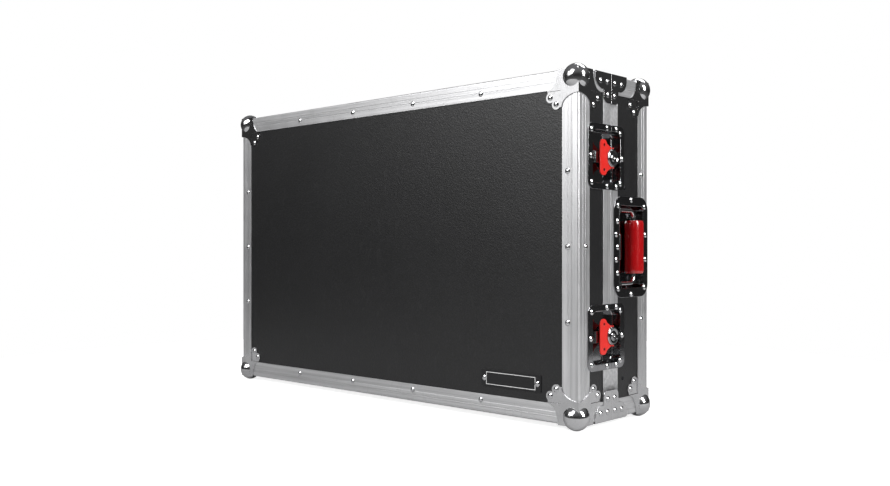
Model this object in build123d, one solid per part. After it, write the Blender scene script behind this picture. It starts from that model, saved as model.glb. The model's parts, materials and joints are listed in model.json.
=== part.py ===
from build123d import *
import os

os.makedirs("parts", exist_ok=True)

# A road case for a controller, in millimetres. It stands on one long narrow side: X runs along its length,
# Y through its depth with the lift-off lid at -Y, Z up from the floor that its steel corners stand on.

# Case, over the outer faces of the edge angles
case_length = 856.0
case_depth = 199.0
case_height = 540.0
lid_depth = 88.0

# Sheet goods and extrusions
ply = 9.0
angle_wall = 1.6
angle_leg = 30.0
angle_round = 3.0
angle_setback = 31.0
groove_places = (11.5, 18.5)
groove_width = 1.4
groove_depth = 0.5
rail_face = 20.5
rail_wall = 1.6
rail_inner_leg = 14.0
groove_floor = 1.5
base_web = 2.2
tongue_width = 3.0
tongue_height = 4.0
tongue_side_gap = 0.25
tongue_tip_gap = 0.3
parting_gap = 0.3
seat_gap = 0.3

# Steel corners and braces
steel = 1.5
ball_radius = 20.5
ball_reach = 9.0
leaf_on_ridge = 37.0
leaf_reach = 57.0
lobe_places = ((52.0, 41.0), (41.0, 52.0))
lobe_radius = 8.0
lobe_chord = 38.0
brace_on_ridge = 45.0
brace_across = 25.0
brace_tail_width = 20.5
brace_tail_reach = 46.0
brace_round = 9.0
brace_rivets = ((10.5, 12.7), (29.5, 12.7), (9.5, 33.0))

# Rivets
rivet_radius = 4.5
rivet_height = 1.9
rivet_slope = 35.0
rivet_sides = 8
edge_rivet_line = 19.5
long_rivet_step = 157.0
short_rivet_step = 115.0
rear_end_rivet_step = 236.0

# Latch dish, measured from the parting line and from the latch's centre
latch_spread = 280.0
dish_lid_reach = 64.0
dish_base_reach = 38.0
dish_half_height = 51.0
dish_corner = 12.0
pocket_lid_reach = 51.0
pocket_base_reach = 26.0
pocket_half_height = 41.0
pocket_corner = 10.0
pocket_depth = 15.0
floor_round = 3.0
lip_round = 0.7
lid_dish_rivets = ((-54.2, 40.5), (-11.4, 45.5), (-56.2, 0.0), (-54.2, -40.5), (-11.4, -45.5))
base_dish_rivets = ((14.7, 45.5), (26.1, 39.5), (31.2, 0.0), (14.7, -45.5), (26.1, -39.5))

# Butterfly latch
hub_from_split = 9.0
hub_radius = 14.4
hub_top = -0.6
hub_under = -5.4
hub_round = 1.4
post_radius = 3.6
post_fit = 0.05
cam_radius = 7.0
cam_throw = 3.0
cam_under = -11.2
bearing_plate = 1.4
bearing_half_height = 20.0
hinge_level = -3.0
hinge_radius = 1.5
hinge_fit = 0.1
ear_inner = 14.8
ear_outer = 16.1
ear_radius = 2.75
wing_sheet = 1.6
wing_length = 35.0
wing_half_width = 28.0
wing_corner = 7.0
wing_shoulder = 8.6
wing_notch = 15.0
wing_hole = 2.5
wing_hole_place = (23.0, 19.5)
yoke_sheet = 1.6
yoke_level = -6.6
yoke_half_width = 13.5
yoke_bar = 3.0
cam_side_gap = 0.85
cam_end_gap = 0.4
neck_half_width = 9.0
lip_thickness = 1.8
lip_drop = 3.4
hook_drop = 3.4
keeper_sheet = 1.6
keeper_gap = 0.3
keeper_top_gap = 1.3
keeper_half_width = 8.0
keeper_foot = 13.0

# Recessed handle, measured from the parting line and from the handle's centre
handle_near = 8.0
handle_far = 109.4
handle_half_height = 81.0
handle_corner = 22.0
handle_pocket_near = 22.5
handle_pocket_far = 96.0
handle_pocket_half = 66.0
handle_pocket_corner = 8.0
handle_pocket_depth = 22.0
handle_rivets = (
    (59.0, 76.0), (20.0, 66.0), (99.0, 66.0), (14.5, 20.0), (102.0, 20.0),
    (14.5, -20.0), (102.0, -20.0), (20.0, -66.0), (99.0, -66.0), (59.0, -76.0),
)
bail_bar = 8.0
bail_pivot = 31.0
bail_reach = 46.0
bail_half_span = 59.0
bail_bend = 13.0
bail_level = -6.0
rod_radius = 3.0
rod_fit = 0.05
eye_radius = 6.0
eye_width = 7.0
spring_barrel_radius = 5.0
spring_barrel_half = 20.0
grip_half_length = 43.0
grip_half_width = 17.0
grip_half_thick = 13.0
grip_taper = 0.86
grip_shoulder = 9.0
grip_bore_gap = 0.1

# Linings, feet and nameplate
foam_side = 14.0
foam_end = 27.0
foam_floor = 12.0
foam_lip = 2.0
foot_reach = 12.0
foot_radius = 19.0
foot_tip_radius = 16.0
foot_screw_radius = 7.0
foot_screw_sunk = 4.0
foot_from_end = 90.0
foot_from_side = 75.0
nameplate_length = 122.0
nameplate_height = 28.0
nameplate_sheet = 1.2
nameplate_corner = 3.0
nameplate_from_end = 131.0
nameplate_from_bottom = 57.0
nameplate_rivet_spacing = 108.0

# Places worked out from the sizes above
end_x = case_length / 2
front_y = (ball_reach - case_depth - foot_reach) / 2
rear_y = front_y + case_depth
split_y = front_y + lid_depth
mid_y = (front_y + rear_y) / 2
bottom_z = ball_reach
top_z = bottom_z + case_height
mid_z = (bottom_z + top_z) / 2
lid_face_y = split_y - parting_gap / 2
base_face_y = split_y + parting_gap / 2
wall_under = angle_wall + ply
rail_deep = wall_under + rail_wall
lid_web = tongue_height + tongue_tip_gap + groove_floor
ball_inset = ball_radius - ball_reach
latch_heights = (mid_z - latch_spread / 2, mid_z + latch_spread / 2)
sides = {"left": -1, "right": 1}
levels = {"lower": latch_heights[0], "upper": latch_heights[1]}


def block(x, y, z):
    """A box between two values on each axis."""
    spans = (x, y, z)
    centre = [(low + high) / 2 for low, high in spans]
    return Pos(*centre) * Box(*[high - low for low, high in spans])


def slab(y, half_height, corner, x):
    """A plate with rounded corners, between two levels of a case end."""
    outline = Pos((y[0] + y[1]) / 2, 0) * RectangleRounded(y[1] - y[0], 2 * half_height, corner)
    return extrude(Plane.YZ.offset(x[0]) * outline, x[1] - x[0])


def rod(start, end, radius):
    """A round bar between two points."""
    way = Vector(*end) - Vector(*start)
    return extrude(Plane(origin=start, z_dir=way) * Circle(radius), way.length)


def on_end(shape, side, height):
    """Takes a piece from its own place to a case end: X outward, Y from the parting line, Z from its centre."""
    placed = Pos(end_x, split_y, height) * shape
    return placed if side > 0 else placed.mirror(Plane.YZ)


def at_latches(shape):
    """Copies of a piece at the four latches."""
    return [on_end(shape, side, height) for side in sides.values() for height in levels.values()]


def at_corners(shape):
    """Copies of a piece from the upper right corner to all four corners of the long outline."""
    pair = [shape, shape.mirror(Plane.YZ)]
    return pair + [piece.mirror(Plane.XY.offset(mid_z)) for piece in pair]


def behind(shape, y):
    """The same piece mirrored through the depth."""
    return shape.mirror(Plane(origin=(0, y, 0), z_dir=(0, 1, 0)))


def save(name, shapes):
    """Writes one node, with each piece as its own solid."""
    pieces = [solid for shape in shapes for solid in shape.solids()]
    export_step(pieces[0] if len(pieces) == 1 else Compound(children=pieces), f"parts/{name}.step")


# Walls of plywood with their openings for the dishes

def dish_hole(near, far, half_height, depth):
    """Room in walls, rails and foam behind one dish."""
    room = steel + seat_gap
    return block((-depth - room, steel), (near - room, far + room), (-half_height - room, half_height + room))


def latch_hole():
    """Room for a latch dish."""
    return dish_hole(-pocket_lid_reach, pocket_base_reach, pocket_half_height, pocket_depth)


def handle_hole():
    """Room for a handle dish."""
    return dish_hole(handle_pocket_near, handle_pocket_far, handle_pocket_half, handle_pocket_depth)


def cut_for_dishes(shape):
    """A piece with the latch and handle openings of both ends cut away."""
    for hole in at_latches(latch_hole()):
        shape = shape - hole
    for side in sides.values():
        shape = shape - on_end(handle_hole(), side, mid_z)
    return shape


def half_shell(panel_y, wall_y):
    """The panel and four walls of one half of the case."""
    outer = (end_x - angle_wall, end_x - wall_under)
    panel = block((-outer[0], outer[0]), panel_y, (bottom_z + angle_wall, top_z - angle_wall))
    end_wall = block((outer[1], outer[0]), wall_y, (bottom_z + angle_wall, top_z - angle_wall))
    top_wall = block((-outer[1], outer[1]), wall_y, (top_z - wall_under, top_z - angle_wall))
    return {
        "panel": panel,
        "right_wall": cut_for_dishes(end_wall),
        "left_wall": cut_for_dishes(end_wall.mirror(Plane.YZ)),
        "top_wall": top_wall,
        "bottom_wall": top_wall.mirror(Plane.XY.offset(mid_z)),
    }


# Aluminium edge angles

def angle_bar(length):
    """An edge angle with its ridge on the Z axis, its legs on +X and +Y, and two grooves along each leg."""
    leg = Rectangle(angle_leg, angle_wall, align=Align.MIN)
    other_leg = Rectangle(angle_wall, angle_leg, align=Align.MIN)
    profile = leg + other_leg
    for place in groove_places:
        profile = profile - Pos(place, 0) * Rectangle(groove_width, 2 * groove_depth)
        profile = profile - Pos(0, place) * Rectangle(2 * groove_depth, groove_width)
    ridge = profile.vertices().sort_by_distance((0, 0, 0))[0]
    profile = fillet(ridge, angle_round)
    return extrude(profile, length / 2, both=True)


def edge_angle(ridge, first_leg, second_leg, length):
    """An edge angle with its middle at a point of the ridge and its legs in two given directions."""
    along = Vector(*first_leg).cross(Vector(*second_leg))
    return Plane(origin=ridge, x_dir=first_leg, z_dir=along) * angle_bar(length)


def face_frame(y, inward):
    """Four angles round the front or the rear face."""
    uprights = [
        edge_angle((side * end_x, y, mid_z), (-side, 0, 0), (0, inward, 0), case_height - 2 * angle_setback)
        for side in sides.values()
    ]
    long_bars = [
        edge_angle((0, y, z), (0, 0, down), (0, inward, 0), case_length - 2 * angle_setback)
        for z, down in ((top_z, -1), (bottom_z, 1))
    ]
    return [cut_for_dishes(bar) for bar in uprights] + long_bars


def corner_bars(near_y, far_y):
    """Four angles along the short edges of one half."""
    ridge = (end_x, (near_y + far_y) / 2, top_z)
    return at_corners(edge_angle(ridge, (-1, 0, 0), (0, 0, -1), far_y - near_y))


# Tongue and groove rails along the parting line

def ring(y, outer, inner):
    """A rectangular ring between two depths under the outer faces of the case."""
    def filled(depth):
        return block((-end_x + depth, end_x - depth), y, (bottom_z + depth, top_z - depth))
    return filled(outer) - filled(inner)


def mitred(frame):
    """A rail ring cut at 45 degrees in its corners, and through by the dishes, into separate lengths."""
    knee = end_x - case_height / 2
    wedges = []
    for z in (top_z, bottom_z):
        wedges.append([(-end_x, z), (end_x, z), (knee, mid_z), (-knee, mid_z)])
    for side in sides.values():
        wedges.append([(side * end_x, top_z), (side * end_x, bottom_z), (side * knee, mid_z)])
    lengths = []
    for corners in wedges:
        outline = make_face(Polyline([(x, 0, z) for x, z in corners], close=True))
        lengths.append(frame & extrude(outline, case_depth, dir=(0, 1, 0), both=True))
    return [cut_for_dishes(length) for length in lengths]


def rail_ring(face_y, inward, web):
    """The rail of one half before its tongue or groove: an outer leg, a web and an inner leg."""
    def span(reach):
        return tuple(sorted((face_y, face_y + inward * reach)))
    outer_leg = ring(span(rail_face), 0, rail_wall)
    middle = ring(span(web), 0, rail_deep)
    inner_leg = ring(span(rail_inner_leg), wall_under, rail_deep)
    return outer_leg + middle + inner_leg


tongue_place = (rail_deep - tongue_width) / 2


def lid_rail():
    """The grooved rail of the lid."""
    deep = tongue_height + tongue_tip_gap
    slot = (tongue_place - tongue_side_gap, tongue_place + tongue_width + tongue_side_gap)
    return mitred(rail_ring(lid_face_y, -1, lid_web) - ring((lid_face_y - deep, lid_face_y), *slot))


def base_rail():
    """The tongued rail of the base."""
    tongue = ring((base_face_y - tongue_height, base_face_y), tongue_place, tongue_place + tongue_width)
    return mitred(rail_ring(base_face_y, 1, base_web) + tongue)


# Ball corners

def leaf_outline():
    """A leaf of a ball corner on its face: arched away from both ridges, with two rivet lobes."""
    outline = make_face(Polyline(
        [(-steel, -steel), (leaf_reach, -steel), (leaf_reach, lobe_chord), (lobe_chord, leaf_reach),
         (-steel, leaf_reach)], close=True))
    arch = leaf_reach - leaf_on_ridge
    outline = outline - Pos(leaf_reach, -steel) * Ellipse(arch, angle_leg + steel)
    outline = outline - Pos(-steel, leaf_reach) * Ellipse(angle_leg + steel, arch)
    for place in lobe_places:
        outline = outline + Pos(*place) * Circle(lobe_radius)
    return outline


def corner_leaf():
    """One leaf: on the angles near the ridges, and stepped down to the panel past them."""
    outline = leaf_outline()
    far = leaf_reach + 2 * lobe_radius
    past_angle = Pos(angle_leg, angle_leg) * Rectangle(far, far, align=Align.MIN)
    past_step = Pos(angle_leg + steel, angle_leg + steel) * Rectangle(far, far, align=Align.MIN)
    on_angle = Pos(0, 0, -steel) * extrude(outline - past_angle, steel)
    step = Pos(0, 0, -steel) * extrude((outline & past_angle) - past_step, steel + angle_wall)
    on_panel = Pos(0, 0, angle_wall - steel) * extrude(outline & past_angle, steel)
    return on_angle + step + on_panel


def ball_corner():
    """A pressed corner with three leaves and a hollow ball, inward axes +X, +Y and +Z from the case's corner."""
    leaf = corner_leaf()
    second = Plane(origin=(0, 0, 0), x_dir=(0, 1, 0), z_dir=(1, 0, 0)) * leaf
    third = Plane(origin=(0, 0, 0), x_dir=(0, 0, 1), z_dir=(0, 1, 0)) * leaf
    leaves = leaf.fuse(second, third)
    ball_centre = Pos(ball_inset, ball_inset, ball_inset)
    inside = block((0, case_depth), (0, case_depth), (0, case_depth))
    ball = ball_centre * Sphere(ball_radius) - inside
    return leaves + ball - ball_centre * Sphere(ball_radius - steel)


def ball_corners():
    """The four ball corners of the lid."""
    return at_corners(Pos(end_x, front_y, top_z) * Rot(0, 180, 0) * ball_corner())


# Corner braces at the parting line

def brace_outline():
    """One wing of a brace: X away from the parting line, Y away from the ridge."""
    wide = brace_on_ridge - parting_gap / 2
    shoulder = Rectangle(wide, brace_across, align=Align.MIN)
    shoulder = fillet(shoulder.vertices().sort_by(Axis.X)[-2:].sort_by(Axis.Y)[-1], brace_across * 0.8)
    tail = Rectangle(brace_tail_width, brace_tail_reach, align=Align.MIN)
    tail = fillet(tail.vertices().sort_by(Axis.X)[-2:].sort_by(Axis.Y)[-1], brace_round)
    over_ridge = Pos(0, -steel) * Rectangle(wide, 2 * steel, align=Align.MIN)
    return shoulder + tail + over_ridge


def brace_set():
    """Folded plates that wrap the lid's four short edges beside the parting line."""
    wing = extrude(brace_outline(), steel)
    on_end_face = Plane(origin=(end_x, lid_face_y, top_z), x_dir=(0, -1, 0), z_dir=(1, 0, 0)) * wing
    on_top_face = Plane(origin=(end_x, lid_face_y, top_z + steel), x_dir=(0, -1, 0), z_dir=(0, 0, -1)) * wing
    return at_corners(on_end_face + on_top_face)


# Rivets

def rivet(place, outward):
    """A rivet head that stands on a plate."""
    head = extrude(RegularPolygon(rivet_radius, rivet_sides), rivet_height, taper=rivet_slope)
    return Plane(origin=place, z_dir=outward) * head


def dish_rivets(places):
    """The rivets of one dish's flange."""
    return Compound(children=[rivet((steel, y, z), (1, 0, 0)) for y, z in places])


def corner_rivets():
    """Two rivets on each leaf of the upper right ball corner of the lid."""
    level = angle_wall - steel
    rivets = []
    for u, v in lobe_places:
        rivets.append(rivet((end_x - level, front_y + u, top_z - v), (1, 0, 0)))
        rivets.append(rivet((end_x - u, front_y + level, top_z - v), (0, -1, 0)))
        rivets.append(rivet((end_x - u, front_y + v, top_z - level), (0, 0, 1)))
    return Compound(children=rivets)


def brace_rivet_set():
    """Three rivets on each wing of the upper right brace of the lid."""
    rivets = []
    for along, across in brace_rivets:
        rivets.append(rivet((end_x + steel, lid_face_y - along, top_z - across), (1, 0, 0)))
        rivets.append(rivet((end_x - across, lid_face_y - along, top_z + steel), (0, 0, 1)))
    return Compound(children=rivets)


def face_rivets(y, outward, end_step, end_count):
    """Rivets in the angles round the front or rear face: in the face itself, and in the legs beside it."""
    rivets = []
    line = edge_rivet_line
    inward = -outward
    for step in (-1.5, -0.5, 0.5, 1.5):
        for z in (top_z - line, bottom_z + line):
            rivets.append(rivet((step * long_rivet_step, y, z), (0, outward, 0)))
    for step in (-1, 0, 1):
        for side in sides.values():
            place = (side * (end_x - line), y, mid_z + step * short_rivet_step)
            rivets.append(rivet(place, (0, outward, 0)))
        for z, up in ((top_z, 1), (bottom_z, -1)):
            rivets.append(rivet((step * 2 * long_rivet_step, y + inward * line, z), (0, 0, up)))
    for index in range(end_count):
        z = mid_z + (index - (end_count - 1) / 2) * end_step
        for side in sides.values():
            rivets.append(rivet((side * end_x, y + inward * line, z), (side, 0, 0)))
    return rivets


# Latch dishes and handle dishes

def pressed_dish(flange, flange_half, flange_corner, pocket, pocket_half, corner, depth):
    """A pressed steel dish: a flat flange on the case's end round a pocket sunk into it."""
    sunk = slab(pocket, pocket_half, corner, (-depth, 2 * steel))
    sunk = fillet(sunk.edges().group_by(Axis.X)[0], floor_round)
    cup = slab((pocket[0] - steel, pocket[1] + steel), pocket_half + steel, corner + steel, (-depth - steel, steel / 2))
    cup = fillet(cup.edges().group_by(Axis.X)[0], floor_round + steel)
    dish = slab(flange, flange_half, flange_corner, (0, steel)) + cup - sunk
    return fillet(dish.faces().sort_by(Axis.X)[-1].edges(), lip_round)


def latch_dish():
    """A whole latch dish, before it is parted at the parting line."""
    return pressed_dish(
        (-dish_lid_reach, dish_base_reach), dish_half_height, dish_corner,
        (-pocket_lid_reach, pocket_base_reach), pocket_half_height, pocket_corner, pocket_depth)


def latch_dish_halves():
    """The lid's part and the base's part of a latch dish."""
    dish = latch_dish()
    across = (-2 * dish_half_height, 2 * dish_half_height)
    deep = (-2 * pocket_depth, 2 * steel)
    lid_side = dish & block(deep, (-2 * dish_lid_reach, -parting_gap / 2), across)
    base_side = dish & block(deep, (parting_gap / 2, 2 * dish_base_reach), across)
    return lid_side, base_side


def handle_dish():
    """The dish of a recessed handle."""
    return pressed_dish(
        (handle_near, handle_far), handle_half_height, handle_corner,
        (handle_pocket_near, handle_pocket_far), handle_pocket_half, handle_pocket_corner, handle_pocket_depth)


# Butterfly latch: hub with its eccentric cam, folding wing, yoke hook and keeper, all at the released rest

cam_centre = hub_from_split - cam_throw
dish_floor = -pocket_depth
hook_front = cam_centre - cam_radius - cam_side_gap
hook_travel_y = 2 * cam_throw
hook_top = yoke_level + yoke_sheet / 2
hook_under = yoke_level - yoke_sheet / 2
lip_under = hook_under - lip_drop + yoke_sheet / 2
keeper_top = lip_under - keeper_top_gap
keeper_face = -26.0
lip_far = keeper_face - keeper_gap - hook_travel_y


def bearing():
    """The plate on the dish floor that the hub's post turns in."""
    outline = Pos(hub_from_split, 0) * RectangleRounded(
        2 * (hub_from_split - parting_gap), 2 * bearing_half_height, hub_round)
    plate = extrude(Plane.YZ.offset(dish_floor) * outline, bearing_plate)
    start = (dish_floor - steel, hub_from_split, 0)
    return plate - rod(start, (dish_floor + 2 * bearing_plate, hub_from_split, 0), post_radius + post_fit)


def latch_hub():
    """A round hub with its eccentric cam, its post and the pin that the wing folds on."""
    disc = rod((hub_under, hub_from_split, 0), (hub_top, hub_from_split, 0), hub_radius)
    disc = fillet(disc.edges().group_by(Axis.X)[-1], hub_round)
    cam = rod((cam_under, cam_centre, 0), (hub_under, cam_centre, 0), cam_radius)
    post = rod((dish_floor + seat_gap, hub_from_split, 0), (cam_under, hub_from_split, 0), post_radius)
    pin_reach = ear_outer + hinge_fit
    pin = rod((hinge_level, hub_from_split, -pin_reach), (hinge_level, hub_from_split, pin_reach), hinge_radius)
    return [disc + cam + post - pin, pin]


def latch_wing():
    """The folding wing: a plate notched round the hub, with an eye each side for the hub's pin."""
    def half_span(z0, z1, d0, d1):
        return Pos(hub_from_split - (d0 + d1) / 2, (z0 + z1) / 2) * Rectangle(d1 - d0, z1 - z0)
    depth = wing_length - wing_shoulder
    blade = Pos(hub_from_split - wing_shoulder - depth / 2, 0) * RectangleRounded(
        depth, 2 * wing_half_width, wing_corner)
    necks = half_span(-ear_outer, ear_outer, 0, wing_shoulder + wing_corner)
    outline = blade + necks - Pos(hub_from_split, 0) * Circle(wing_notch)
    for sign in (-1, 1):
        hole = Pos(hub_from_split - wing_hole_place[0], sign * wing_hole_place[1]) * Circle(wing_hole)
        outline = outline - hole
    plate = extrude(Plane.YZ.offset(hinge_level - wing_sheet / 2) * outline, wing_sheet)
    for sign in (-1, 1):
        ends = [(hinge_level, hub_from_split, sign * z) for z in (ear_inner, ear_outer)]
        plate = plate + rod(*ends, ear_radius)
    reach = ear_outer + 1
    bore = rod((hinge_level, hub_from_split, -reach), (hinge_level, hub_from_split, reach), hinge_radius + hinge_fit)
    return plate - bore


def latch_hook():
    """The sliding yoke: a window round the cam, a neck towards the lid and a lip that drops behind the keeper."""
    window_half = cam_radius + cam_side_gap
    back = cam_centre + window_half + yoke_bar
    front = cam_centre - window_half - yoke_bar
    yoke = Pos((front + back) / 2, 0) * RectangleRounded(back - front, 2 * yoke_half_width, yoke_bar)
    neck = Pos((lip_far - lip_thickness + front + yoke_bar) / 2, 0) * Rectangle(
        front + yoke_bar - lip_far + lip_thickness, 2 * neck_half_width)
    window = Pos(cam_centre, 0) * Rectangle(2 * window_half, 2 * (cam_radius + cam_throw + cam_end_gap))
    plate = extrude(Plane.YZ.offset(hook_under) * (yoke + neck - window), yoke_sheet)
    lip = block((lip_under, hook_top), (lip_far - lip_thickness, lip_far), (-neck_half_width, neck_half_width))
    return plate + lip


def latch_keeper():
    """The angle plate on the lid's dish floor that the hook pulls on."""
    upstand = block((dish_floor, keeper_top), (keeper_face, keeper_face + keeper_sheet),
                    (-keeper_half_width, keeper_half_width))
    foot = block((dish_floor, dish_floor + keeper_sheet), (keeper_face, keeper_face + keeper_foot),
                 (-keeper_half_width, keeper_half_width))
    return upstand + foot


# Recessed handle

grip_axis = bail_pivot + bail_reach


def handle_bail():
    """A bent round bar with an eye at each end for the pivot rod."""
    start = bail_pivot + (rod_radius + eye_radius) / 2
    corners = [(bail_level, start, -bail_half_span), (bail_level, grip_axis, -bail_half_span),
               (bail_level, grip_axis, bail_half_span), (bail_level, start, bail_half_span)]
    path = FilletPolyline(*corners, radius=bail_bend)
    bar = sweep(Plane(origin=corners[0], z_dir=(0, 1, 0)) * Circle(bail_bar / 2), path)
    for sign in (-1, 1):
        eye_ends = [(bail_level, bail_pivot, sign * bail_half_span + half) for half in (-eye_width / 2, eye_width / 2)]
        bar = bar + rod(*eye_ends, eye_radius)
    reach = handle_pocket_half
    return bar - rod((bail_level, bail_pivot, -reach), (bail_level, bail_pivot, reach), rod_radius + rod_fit)


def handle_grip():
    """A moulded grip of oval section round the bail's cross bar."""
    sections = []
    for z, scale in ((-grip_half_length, grip_taper), (-grip_half_length + grip_shoulder, 1),
                     (grip_half_length - grip_shoulder, 1), (grip_half_length, grip_taper)):
        oval = Ellipse(grip_half_thick * scale, grip_half_width * scale)
        sections.append(Pos(bail_level, grip_axis, z) * oval)
    body = loft(sections, ruled=True)
    reach = grip_half_length + 1
    bore = rod((bail_level, grip_axis, -reach), (bail_level, grip_axis, reach), bail_bar / 2 + grip_bore_gap)
    return body - bore


def pivot_rod():
    """The rod that the bail swings on, held between the dish walls."""
    reach = handle_pocket_half
    pocket = slab((handle_pocket_near, handle_pocket_far), reach, handle_pocket_corner, (-handle_pocket_depth, 0))
    return rod((bail_level, bail_pivot, -reach), (bail_level, bail_pivot, reach), rod_radius) & pocket


def spring_barrel():
    """The rolled sleeve on the rod that holds the return spring."""
    ends = [(bail_level, bail_pivot, z) for z in (-spring_barrel_half, spring_barrel_half)]
    return rod(*ends, spring_barrel_radius) - rod(*ends, rod_radius)


# Foam linings

def foam_tray(panel_y, open_y):
    """A foam lining of one half: a floor on the panel and four sides, hollowed for the controller."""
    low, high = sorted((panel_y, open_y))
    outer_x = end_x - rail_deep - seat_gap
    side_z = rail_deep + seat_gap
    outer = block((-outer_x, outer_x), (low, high), (bottom_z + side_z, top_z - side_z))
    inward = 1 if open_y > panel_y else -1
    bay_y = sorted((panel_y + inward * foam_floor, open_y + inward * foam_floor))
    bay = block((-outer_x + foam_end, outer_x - foam_end), bay_y,
                (bottom_z + side_z + foam_side, top_z - side_z - foam_side))
    return cut_for_dishes(outer - bay)


# Feet and nameplate

def foot_places():
    """The middles of the four feet on the rear panel."""
    x = end_x - foot_from_end
    z = case_height / 2 - foot_from_side
    return [(sx * x, rear_y - angle_wall, mid_z + sz * z) for sx in (-1, 1) for sz in (-1, 1)]


def rubber_foot():
    """A tapered rubber foot with a well for its screw, standing on the XY plane."""
    height = foot_reach + angle_wall
    body = Cone(foot_radius, foot_tip_radius, height, align=(Align.CENTER, Align.CENTER, Align.MIN))
    well = Cylinder(foot_screw_radius + seat_gap, height, align=(Align.CENTER, Align.CENTER, Align.MIN))
    return body - Pos(0, 0, height / 2) * well


def foot_screw():
    """The pan head screw in a foot's well."""
    height = foot_reach + angle_wall
    head = Cylinder(foot_screw_radius, height / 2 - foot_screw_sunk,
                    align=(Align.CENTER, Align.CENTER, Align.MIN))
    return Pos(0, 0, height / 2) * head


def at_feet(shape):
    """Copies of a piece on the rear panel at the four feet."""
    return [Plane(origin=place, z_dir=(0, 1, 0)) * shape for place in foot_places()]


nameplate_centre = (end_x - nameplate_from_end, front_y + angle_wall, bottom_z + nameplate_from_bottom)


def nameplate():
    """A bare plate on the lid's front panel."""
    outline = RectangleRounded(nameplate_length, nameplate_height, nameplate_corner)
    return extrude(Plane(origin=nameplate_centre, x_dir=(1, 0, 0), z_dir=(0, -1, 0)) * outline, nameplate_sheet)


def nameplate_rivets():
    """Two rivets at the ends of the nameplate."""
    x, y, z = nameplate_centre
    return [rivet((x + half, y - nameplate_sheet, z), (0, -1, 0))
            for half in (-nameplate_rivet_spacing / 2, nameplate_rivet_spacing / 2)]


# Walls, linings and trim of both halves

lid_panel_y = (front_y + angle_wall, front_y + wall_under)
base_panel_y = (rear_y - wall_under, rear_y - angle_wall)
for name, shape in half_shell(lid_panel_y, (front_y + wall_under, lid_face_y - lid_web)).items():
    save("lid_" + name, [shape])
for name, shape in half_shell(base_panel_y, (base_face_y + base_web, rear_y - wall_under)).items():
    save("base_" + name, [shape])

save("lid_edge_angles", face_frame(front_y, 1))
save("base_edge_angles", face_frame(rear_y, -1))
save("lid_corner_angles", corner_bars(front_y + angle_setback, lid_face_y - rail_face))
save("base_corner_angles", corner_bars(base_face_y + rail_face, rear_y - angle_setback))
save("lid_groove_rail", lid_rail())
save("base_tongue_rail", base_rail())

front_corners = ball_corners()
save("lid_ball_corners", front_corners)
save("base_ball_corners", [behind(corner, mid_y) for corner in front_corners])
front_braces = brace_set()
save("lid_corner_braces", front_braces)
save("base_corner_braces", [behind(brace, split_y) for brace in front_braces])

leaf_rivets = at_corners(corner_rivets())
wing_rivets = at_corners(brace_rivet_set())
save("lid_rivets", leaf_rivets + wing_rivets + face_rivets(front_y, -1, 0, 1))
save("base_rivets",
     [behind(piece, mid_y) for piece in leaf_rivets]
     + [behind(piece, split_y) for piece in wing_rivets]
     + face_rivets(rear_y, 1, rear_end_rivet_step, 2))

save("lid_foam", [foam_tray(lid_panel_y[1], lid_face_y - foam_lip)])
save("base_foam", [foam_tray(base_panel_y[0], base_face_y + foam_lip)])
save("rubber_feet", at_feet(rubber_foot()))
save("foot_screws", at_feet(foot_screw()))
save("nameplate", [nameplate()])
save("nameplate_rivets", nameplate_rivets())

# Latches

lid_dish, base_dish = latch_dish_halves()
save("lid_latch_dishes", at_latches(lid_dish))
save("base_latch_dishes", at_latches(base_dish))
save("latch_bearing_plates", at_latches(bearing()))
save("latch_keepers", at_latches(latch_keeper()))
save("lid_latch_rivets", at_latches(dish_rivets(lid_dish_rivets)))
save("base_latch_rivets", at_latches(dish_rivets(base_dish_rivets)))
hub_pieces = latch_hub()
wing = latch_wing()
hook = latch_hook()
for side_name, side in sides.items():
    for level_name, height in levels.items():
        place = f"{side_name}_{level_name}"
        save(f"{place}_latch_hub", [on_end(piece, side, height) for piece in hub_pieces])
        save(f"{place}_latch_wing", [on_end(wing, side, height)])
        save(f"{place}_latch_hook", [on_end(hook, side, height)])

# Handles

dish = handle_dish()
bail = handle_bail()
grip = handle_grip()
for side_name, side in sides.items():
    save(f"{side_name}_handle_dish", [on_end(dish, side, mid_z)])
    save(f"{side_name}_handle_bail", [on_end(bail, side, mid_z)])
    save(f"{side_name}_handle_grip", [on_end(grip, side, mid_z)])
save("handle_pivot_rods", [on_end(pivot_rod(), side, mid_z) for side in sides.values()])
save("handle_spring_barrels", [on_end(spring_barrel(), side, mid_z) for side in sides.values()])
save("handle_rivets", [on_end(dish_rivets(handle_rivets), side, mid_z) for side in sides.values()])
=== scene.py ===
import json
from math import cos, pi, radians, sin

import bmesh
import bpy
from mathutils import Matrix, Vector


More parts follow.
